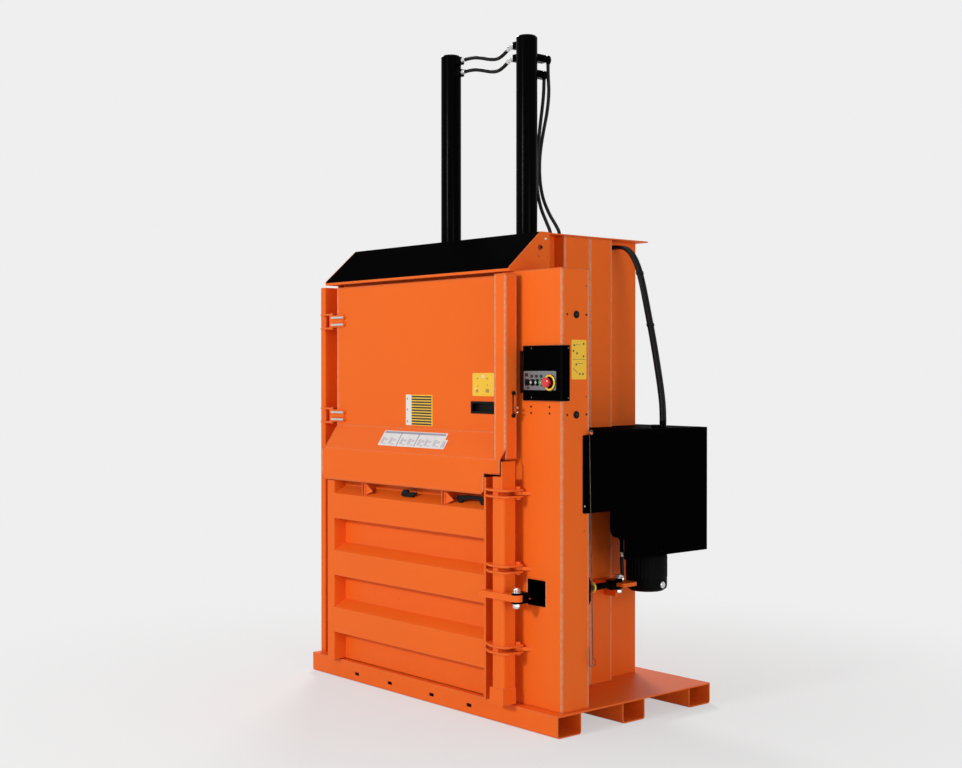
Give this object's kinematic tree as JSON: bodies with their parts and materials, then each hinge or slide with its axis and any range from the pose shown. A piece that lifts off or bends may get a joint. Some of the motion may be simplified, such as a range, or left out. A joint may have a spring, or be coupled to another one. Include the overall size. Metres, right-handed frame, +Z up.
{
  "type": "vertical recycling baler",
  "caption": "Upright baling press: a forkable base, a press chamber with a feed door over a corrugated bale door, and vertical press cylinders.",
  "frame": {"origin": "on the floor under the centre of the base plate", "axes": "+Z up, +X to the right of a person who faces the doors, -Y out of the doors"},
  "size_m": [1.7375, 1.026, 3.021],
  "materials": {
    "orange_paint": "semi-gloss",
    "black_paint": "gloss",
    "bright_steel": "bright",
    "chrome_rod": "polished",
    "rubber_hose": "satin",
    "dark_steel": "satin",
    "cast_metal": "painted satin",
    "black_plastic": "satin",
    "green_plastic": "gloss",
    "white_plastic": "gloss",
    "blue_plastic": "gloss",
    "red_plastic": "gloss"
  },
  "bodies": {
    "frame": {"floor_plate": "orange_paint", "front_runner": "orange_paint", "rear_runners": "orange_paint", "chamber_walls": "orange_paint", "chamber_floor": "orange_paint", "left_side_bays": "orange_paint", "right_side_bays": "orange_paint", "right_column_front": "orange_paint", "right_column_side": "orange_paint", "left_column": "orange_paint", "hinge_tongues": "orange_paint", "hood_frame": "orange_paint", "hood": "black_paint", "top_plates": "orange_paint", "crosshead_beams": "orange_paint", "press_cylinders": "black_paint", "feed_hinge_brackets": "orange_paint", "ram_lug": "orange_paint", "ram_guard": "black_plastic", "control_panel": "black_paint", "power_unit_cover": "black_paint", "oil_tank": "dark_steel", "hydraulic_pump": "cast_metal", "pump_motor": "cast_metal", "unit_breather": "bright_steel", "power_hose_front": "rubber_hose", "power_hose_rear": "rubber_hose", "cross_hose_upper": "rubber_hose", "cross_hose_lower": "rubber_hose", "return_hose_outer": "rubber_hose", "return_hose_inner": "rubber_hose", "ram_hose": "rubber_hose", "hose_fittings": "bright_steel", "hose_ties": "black_plastic", "strap_threader": "bright_steel"},
    "platen": {"press_platen": "orange_paint", "piston_rods": "chrome_rod"},
    "feed_door": {"feed_door": "orange_paint", "feed_door_handle": "black_plastic", "feed_hinge_knuckles": "orange_paint", "feed_hinge_bars": "bright_steel", "feed_latches": "bright_steel"},
    "bale_door": {"bale_door_sheet": "orange_paint", "bale_door_inner_plate": "orange_paint", "bale_door_edges": "orange_paint", "bale_door_post": "orange_paint", "bale_door_hinge_bolts": "bright_steel", "door_arm": "orange_paint", "strap_guides": "orange_paint", "strap_hooks": "black_plastic"},
    "ram_rod": {"ram_fork": "black_paint", "ram_rod": "chrome_rod"},
    "ram_barrel": {"ram_barrel": "black_paint"},
    "e_stop": {"e_stop_button": "red_plastic"},
    "start_button": {"start_button": "green_plastic"},
    "hold_button": {"hold_button": "white_plastic"},
    "raise_button": {"raise_button": "blue_plastic"},
    "key_selector": {"key_selector": "black_plastic"},
    "upper_lock": {"cover_lock_upper": "black_plastic"},
    "lower_lock": {"cover_lock_lower": "black_plastic"}
  },
  "joints": [
    {"name": "platen_slide", "type": "slide", "parent": "frame", "child": "platen", "axis": [0, 0, -1], "range_m": [0, 0.85]},
    {"name": "feed_door_hinge", "type": "hinge", "parent": "frame", "child": "feed_door", "pos_m": [-0.745, -0.4425, 1.49], "axis": [0, 0, 1], "range_deg": [-110, 0]},
    {"name": "bale_door_hinge", "type": "hinge", "parent": "frame", "child": "bale_door", "pos_m": [0.612, -0.4565, 0.66], "axis": [0, 0, 1], "range_deg": [0, 90]},
    {"name": "ram_rod_pivot", "type": "hinge", "parent": "bale_door", "child": "ram_rod", "pos_m": [0.685, -0.5295, 0.5515], "axis": [0, 0, 1], "range_deg": [-90, 0]},
    {"name": "ram_barrel_slide", "type": "slide", "parent": "ram_rod", "child": "ram_barrel", "axis": [0, -1, 0], "range_m": [0, 0.147]},
    {"name": "e_stop_press", "type": "slide", "parent": "frame", "child": "e_stop", "axis": [0, 1, 0], "range_m": [0, 0.006], "stiffness_N_per_m": 400},
    {"name": "start_button_press", "type": "slide", "parent": "frame", "child": "start_button", "axis": [0, 1, 0], "range_m": [0, 0.004], "stiffness_N_per_m": 400},
    {"name": "hold_button_press", "type": "slide", "parent": "frame", "child": "hold_button", "axis": [0, 1, 0], "range_m": [0, 0.004], "stiffness_N_per_m": 400},
    {"name": "raise_button_press", "type": "slide", "parent": "frame", "child": "raise_button", "axis": [0, 1, 0], "range_m": [0, 0.004], "stiffness_N_per_m": 400},
    {"name": "key_turn", "type": "hinge", "parent": "frame", "child": "key_selector", "pos_m": [0.652, -0.4365, 1.431], "axis": [0, 1, 0], "range_deg": [0, 60]},
    {"name": "upper_lock_turn", "type": "hinge", "parent": "frame", "child": "upper_lock", "pos_m": [0.846, -0.3485, 1.708], "axis": [1, 0, 0], "range_deg": [0, 90]},
    {"name": "lower_lock_turn", "type": "hinge", "parent": "frame", "child": "lower_lock", "pos_m": [0.846, -0.3485, 1.3], "axis": [1, 0, 0], "range_deg": [0, 90]}
  ],
  "couplings": [
    {"joint": "ram_rod_pivot", "follows": "bale_door_hinge", "ratio": -1},
    {"joint": "ram_barrel_slide", "follows": "bale_door_hinge", "m_per_rad": 0.092946}
  ]
}
